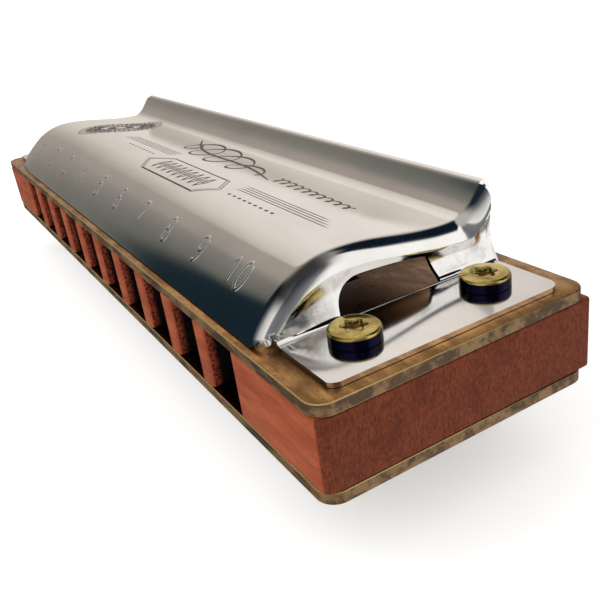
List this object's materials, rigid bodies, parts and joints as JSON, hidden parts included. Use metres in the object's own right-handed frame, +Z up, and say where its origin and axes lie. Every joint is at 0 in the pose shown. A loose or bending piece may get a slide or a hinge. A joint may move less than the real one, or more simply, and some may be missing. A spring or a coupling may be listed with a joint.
{
  "type": "diatonic harmonica",
  "caption": "Diatonic harmonica with a wooden comb, brass reed plates, hinged reeds, folded steel covers and clamping screws.",
  "frame": {"origin": "under the middle of the comb, level with the lowest point of the lower cover", "axes": "+X along the row of holes from the low notes to the high notes, +Y from the mouth side to the open back, +Z up"},
  "size_m": [0.101, 0.0254, 0.0221],
  "materials": {
    "stained_pearwood": "satin",
    "aged_brass": "tarnished",
    "reed_brass": "ground",
    "rivet_brass": "satin",
    "polished_steel": "mirror polished",
    "screw_brass": "polished",
    "screw_steel": "satin"
  },
  "bodies": {
    "body": {"comb": "stained_pearwood", "upper_reed_plate": "aged_brass", "lower_reed_plate": "aged_brass", "upper_cover": "polished_steel", "lower_cover": "polished_steel", "blow_rivet_01": "rivet_brass", "blow_rivet_02": "rivet_brass", "blow_rivet_03": "rivet_brass", "blow_rivet_04": "rivet_brass", "blow_rivet_05": "rivet_brass", "blow_rivet_06": "rivet_brass", "blow_rivet_07": "rivet_brass", "blow_rivet_08": "rivet_brass", "blow_rivet_09": "rivet_brass", "blow_rivet_10": "rivet_brass", "draw_rivet_01": "rivet_brass", "draw_rivet_02": "rivet_brass", "draw_rivet_03": "rivet_brass", "draw_rivet_04": "rivet_brass", "draw_rivet_05": "rivet_brass", "draw_rivet_06": "rivet_brass", "draw_rivet_07": "rivet_brass", "draw_rivet_08": "rivet_brass", "draw_rivet_09": "rivet_brass", "draw_rivet_10": "rivet_brass", "cover_screw_left_front": "screw_brass", "cover_nut_left_front": "screw_brass", "cover_screw_left_rear": "screw_brass", "cover_nut_left_rear": "screw_brass", "cover_screw_right_front": "screw_brass", "cover_nut_right_front": "screw_brass", "cover_screw_right_rear": "screw_brass", "cover_nut_right_rear": "screw_brass", "reed_plate_screw_1": "screw_steel", "reed_plate_screw_2": "screw_steel", "reed_plate_screw_3": "screw_steel", "reed_plate_screw_4": "screw_steel", "reed_plate_screw_5": "screw_steel"},
    "blow_reed_01_body": {"blow_reed_01": "reed_brass"},
    "blow_reed_02_body": {"blow_reed_02": "reed_brass"},
    "blow_reed_03_body": {"blow_reed_03": "reed_brass"},
    "blow_reed_04_body": {"blow_reed_04": "reed_brass"},
    "blow_reed_05_body": {"blow_reed_05": "reed_brass"},
    "blow_reed_06_body": {"blow_reed_06": "reed_brass"},
    "blow_reed_07_body": {"blow_reed_07": "reed_brass"},
    "blow_reed_08_body": {"blow_reed_08": "reed_brass"},
    "blow_reed_09_body": {"blow_reed_09": "reed_brass"},
    "blow_reed_10_body": {"blow_reed_10": "reed_brass"},
    "draw_reed_01_body": {"draw_reed_01": "reed_brass"},
    "draw_reed_02_body": {"draw_reed_02": "reed_brass"},
    "draw_reed_03_body": {"draw_reed_03": "reed_brass"},
    "draw_reed_04_body": {"draw_reed_04": "reed_brass"},
    "draw_reed_05_body": {"draw_reed_05": "reed_brass"},
    "draw_reed_06_body": {"draw_reed_06": "reed_brass"},
    "draw_reed_07_body": {"draw_reed_07": "reed_brass"},
    "draw_reed_08_body": {"draw_reed_08": "reed_brass"},
    "draw_reed_09_body": {"draw_reed_09": "reed_brass"},
    "draw_reed_10_body": {"draw_reed_10": "reed_brass"}
  },
  "joints": [
    {"name": "blow_reed_01_bend", "type": "hinge", "parent": "body", "child": "blow_reed_01_body", "pos_m": [-0.03465, -0.00905, 0.0139], "axis": [1, 0, 0], "range_deg": [-4, 4], "stiffness_Nm_per_rad": 0.002},
    {"name": "blow_reed_02_bend", "type": "hinge", "parent": "body", "child": "blow_reed_02_body", "pos_m": [-0.02695, -0.00905, 0.0139], "axis": [1, 0, 0], "range_deg": [-4, 4], "stiffness_Nm_per_rad": 0.002},
    {"name": "blow_reed_03_bend", "type": "hinge", "parent": "body", "child": "blow_reed_03_body", "pos_m": [-0.01925, -0.00905, 0.0139], "axis": [1, 0, 0], "range_deg": [-4, 4], "stiffness_Nm_per_rad": 0.002},
    {"name": "blow_reed_04_bend", "type": "hinge", "parent": "body", "child": "blow_reed_04_body", "pos_m": [-0.01155, -0.00905, 0.0139], "axis": [1, 0, 0], "range_deg": [-4, 4], "stiffness_Nm_per_rad": 0.002},
    {"name": "blow_reed_05_bend", "type": "hinge", "parent": "body", "child": "blow_reed_05_body", "pos_m": [-0.00385, -0.00905, 0.0139], "axis": [1, 0, 0], "range_deg": [-4, 4], "stiffness_Nm_per_rad": 0.002},
    {"name": "blow_reed_06_bend", "type": "hinge", "parent": "body", "child": "blow_reed_06_body", "pos_m": [0.00385, -0.00905, 0.0139], "axis": [1, 0, 0], "range_deg": [-4, 4], "stiffness_Nm_per_rad": 0.002},
    {"name": "blow_reed_07_bend", "type": "hinge", "parent": "body", "child": "blow_reed_07_body", "pos_m": [0.01155, -0.00905, 0.0139], "axis": [1, 0, 0], "range_deg": [-4, 4], "stiffness_Nm_per_rad": 0.002},
    {"name": "blow_reed_08_bend", "type": "hinge", "parent": "body", "child": "blow_reed_08_body", "pos_m": [0.01925, -0.00905, 0.0139], "axis": [1, 0, 0], "range_deg": [-4, 4], "stiffness_Nm_per_rad": 0.002},
    {"name": "blow_reed_09_bend", "type": "hinge", "parent": "body", "child": "blow_reed_09_body", "pos_m": [0.02695, -0.00905, 0.0139], "axis": [1, 0, 0], "range_deg": [-4, 4], "stiffness_Nm_per_rad": 0.002},
    {"name": "blow_reed_10_bend", "type": "hinge", "parent": "body", "child": "blow_reed_10_body", "pos_m": [0.03465, -0.00905, 0.0139], "axis": [1, 0, 0], "range_deg": [-4, 4], "stiffness_Nm_per_rad": 0.002},
    {"name": "draw_reed_01_bend", "type": "hinge", "parent": "body", "child": "draw_reed_01_body", "pos_m": [-0.03465, 0.00785, 0.00665], "axis": [1, 0, 0], "range_deg": [-4, 4], "stiffness_Nm_per_rad": 0.002},
    {"name": "draw_reed_02_bend", "type": "hinge", "parent": "body", "child": "draw_reed_02_body", "pos_m": [-0.02695, 0.00722, 0.00665], "axis": [1, 0, 0], "range_deg": [-4, 4], "stiffness_Nm_per_rad": 0.002},
    {"name": "draw_reed_03_bend", "type": "hinge", "parent": "body", "child": "draw_reed_03_body", "pos_m": [-0.01925, 0.00658, 0.00665], "axis": [1, 0, 0], "range_deg": [-4, 4], "stiffness_Nm_per_rad": 0.002},
    {"name": "draw_reed_04_bend", "type": "hinge", "parent": "body", "child": "draw_reed_04_body", "pos_m": [-0.01155, 0.00595, 0.00665], "axis": [1, 0, 0], "range_deg": [-4, 4], "stiffness_Nm_per_rad": 0.002},
    {"name": "draw_reed_05_bend", "type": "hinge", "parent": "body", "child": "draw_reed_05_body", "pos_m": [-0.00385, 0.00532, 0.00665], "axis": [1, 0, 0], "range_deg": [-4, 4], "stiffness_Nm_per_rad": 0.002},
    {"name": "draw_reed_06_bend", "type": "hinge", "parent": "body", "child": "draw_reed_06_body", "pos_m": [0.00385, 0.00468, 0.00665], "axis": [1, 0, 0], "range_deg": [-4, 4], "stiffness_Nm_per_rad": 0.002},
    {"name": "draw_reed_07_bend", "type": "hinge", "parent": "body", "child": "draw_reed_07_body", "pos_m": [0.01155, 0.00405, 0.00665], "axis": [1, 0, 0], "range_deg": [-4, 4], "stiffness_Nm_per_rad": 0.002},
    {"name": "draw_reed_08_bend", "type": "hinge", "parent": "body", "child": "draw_reed_08_body", "pos_m": [0.01925, 0.00342, 0.00665], "axis": [1, 0, 0], "range_deg": [-4, 4], "stiffness_Nm_per_rad": 0.002},
    {"name": "draw_reed_09_bend", "type": "hinge", "parent": "body", "child": "draw_reed_09_body", "pos_m": [0.02695, 0.00278, 0.00665], "axis": [1, 0, 0], "range_deg": [-4, 4], "stiffness_Nm_per_rad": 0.002},
    {"name": "draw_reed_10_bend", "type": "hinge", "parent": "body", "child": "draw_reed_10_body", "pos_m": [0.03465, 0.00215, 0.00665], "axis": [1, 0, 0], "range_deg": [-4, 4], "stiffness_Nm_per_rad": 0.002}
  ]
}
